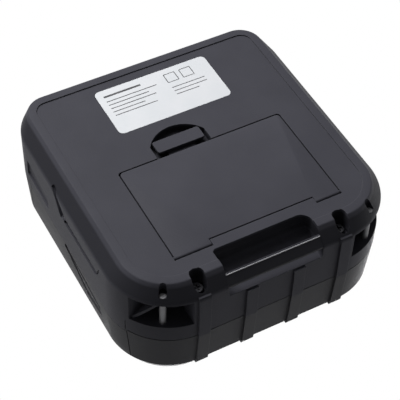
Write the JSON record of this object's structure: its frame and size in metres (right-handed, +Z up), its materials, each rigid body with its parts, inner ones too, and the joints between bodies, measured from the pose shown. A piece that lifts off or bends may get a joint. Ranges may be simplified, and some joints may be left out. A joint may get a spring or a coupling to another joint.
{
  "type": "label printer",
  "caption": "Rugged mobile label printer: casing with hinged media lid, print mechanism, battery bay with door, belt bar and strap posts.",
  "frame": {"origin": "centre of the bounding box at the plane that the underside's rim rests on", "axes": "+Z up, the front with the paper exit and buttons faces -Y, the rear wall with the belt bar faces +Y, the picture's left wall faces -X. The picture shows the printer lying upside down"},
  "size_m": [0.155, 0.1624, 0.0726],
  "materials": {
    "charcoal": "fine moulded texture, satin",
    "wall_grey": "fine moulded texture, satin",
    "smoke_window": "smoked clear plastic",
    "display_glass": "dark clear plastic",
    "display": "liquid crystal module",
    "light_guide": "clear light guide",
    "button_grey": "soft touch",
    "release_blue": "satin",
    "steel": "ground",
    "zinc_steel": "zinc plated sheet",
    "black_screw": "black oxide",
    "aluminium": "as extruded",
    "ceramic": "glazed head substrate",
    "roller_rubber": "ground, soft",
    "gear_white": "acetal",
    "guide_grey": "acetal",
    "tray_black": "satin",
    "board_green": "solder resist",
    "chip_black": "moulded",
    "brass": "gold flashed",
    "pack_black": "satin",
    "label_white": "coated label stock"
  },
  "bodies": {
    "casing": {"base_shell": "charcoal", "rear_housing": "wall_grey", "front_housing": "wall_grey", "hinge_pin": "steel", "display_window": "display_glass", "display_module": "display", "status_light": "light_guide", "key_board": "board_green", "key_switches": "chip_black", "print_frame": "zinc_steel", "print_head": "ceramic", "head_heat_sink": "aluminium", "tear_bar": "steel", "idler_post": "steel", "stepper_motor": "zinc_steel", "media_tray": "tray_black", "guide_post": "steel", "gap_sensor": "chip_black", "battery_pack": "pack_black", "battery_contacts": "brass", "main_board": "board_green", "board_chips": "chip_black", "inner_deck": "tray_black", "port_board": "board_green", "usb_socket": "steel", "power_socket": "chip_black", "casing_screws": "black_screw", "front_screws": "black_screw", "strap_posts": "steel", "belt_bar": "charcoal", "rating_label": "label_white"},
    "lid": {"media_lid": "wall_grey", "lid_window": "smoke_window", "platen_bearings": "brass"},
    "platen": {"platen_shaft": "steel", "platen_rubber": "roller_rubber", "platen_gear": "gear_white"},
    "idler": {"idler_gear": "gear_white"},
    "motor_rotor": {"motor_pinion": "brass", "motor_shaft": "steel"},
    "guide_left": {"media_guide_left": "guide_grey"},
    "guide_right": {"media_guide_right": "guide_grey"},
    "guide_gear": {"guide_pinion": "gear_white"},
    "door": {"battery_door": "charcoal"},
    "catch": {"door_catch": "charcoal"},
    "latch": {"latch_shaft": "steel", "latch_hooks": "guide_grey"},
    "release": {"release_button": "release_blue"},
    "power_key": {"power_button": "button_grey"},
    "feed_key": {"feed_button": "button_grey"},
    "flap": {"port_flap": "button_grey"}
  },
  "joints": [
    {"name": "lid_hinge", "type": "hinge", "parent": "casing", "child": "lid", "pos_m": [0, 0.064, 0.068], "axis": [-1, 0, 0], "range_deg": [0, 95]},
    {"name": "platen_spin", "type": "hinge", "parent": "lid", "child": "platen", "pos_m": [0, -0.044, 0.058], "axis": [1, 0, 0], "continuous": true},
    {"name": "idler_spin", "type": "hinge", "parent": "casing", "child": "idler", "pos_m": [0.0629, -0.04234, 0.04008], "axis": [1, 0, 0], "continuous": true},
    {"name": "motor_spin", "type": "hinge", "parent": "casing", "child": "motor_rotor", "pos_m": [0.055, -0.05469, 0.03602], "axis": [1, 0, 0], "continuous": true},
    {"name": "guide_left_slide", "type": "slide", "parent": "casing", "child": "guide_left", "axis": [1, 0, 0], "range_m": [0, 0.03]},
    {"name": "guide_right_slide", "type": "slide", "parent": "casing", "child": "guide_right", "axis": [-1, 0, 0], "range_m": [0, 0.03]},
    {"name": "guide_gear_spin", "type": "hinge", "parent": "casing", "child": "guide_gear", "pos_m": [0, -0.017, 0.0105], "axis": [0, 0, 1], "range_deg": [-1, 359.1]},
    {"name": "door_hinge", "type": "hinge", "parent": "casing", "child": "door", "pos_m": [0, 0.0575, 0.0018], "axis": [1, 0, 0], "range_deg": [0, 75]},
    {"name": "catch_slide", "type": "slide", "parent": "door", "child": "catch", "axis": [0, 1, 0], "range_m": [0, 0.0026], "stiffness_N_per_m": 800, "springref_m": -0.001},
    {"name": "latch_turn", "type": "hinge", "parent": "casing", "child": "latch", "pos_m": [0, -0.0615, 0.047], "axis": [1, 0, 0], "range_deg": [-0.5, 11]},
    {"name": "release_press", "type": "slide", "parent": "casing", "child": "release", "axis": [0, 0, -1], "range_m": [0, 0.001], "stiffness_N_per_m": 1200, "springref_m": -0.0008},
    {"name": "power_press", "type": "slide", "parent": "casing", "child": "power_key", "axis": [0, 0, -1], "range_m": [0, 0.0008], "stiffness_N_per_m": 1500, "springref_m": -0.0004},
    {"name": "feed_press", "type": "slide", "parent": "casing", "child": "feed_key", "axis": [0, 0, -1], "range_m": [0, 0.0008], "stiffness_N_per_m": 1500, "springref_m": -0.0004},
    {"name": "flap_hinge", "type": "hinge", "parent": "casing", "child": "flap", "pos_m": [0.0764, 0.0431, 0.02], "axis": [0, 0, 1], "range_deg": [0, 100]}
  ],
  "couplings": [
    {"joint": "idler_spin", "follows": "platen_spin", "ratio": -0.8},
    {"joint": "motor_spin", "follows": "platen_spin", "ratio": 2.6667},
    {"joint": "guide_right_slide", "follows": "guide_left_slide", "ratio": 1},
    {"joint": "guide_gear_spin", "follows": "guide_left_slide", "rad_per_m": 208.33},
    {"joint": "latch_turn", "follows": "release_press", "rad_per_m": 181.82}
  ]
}
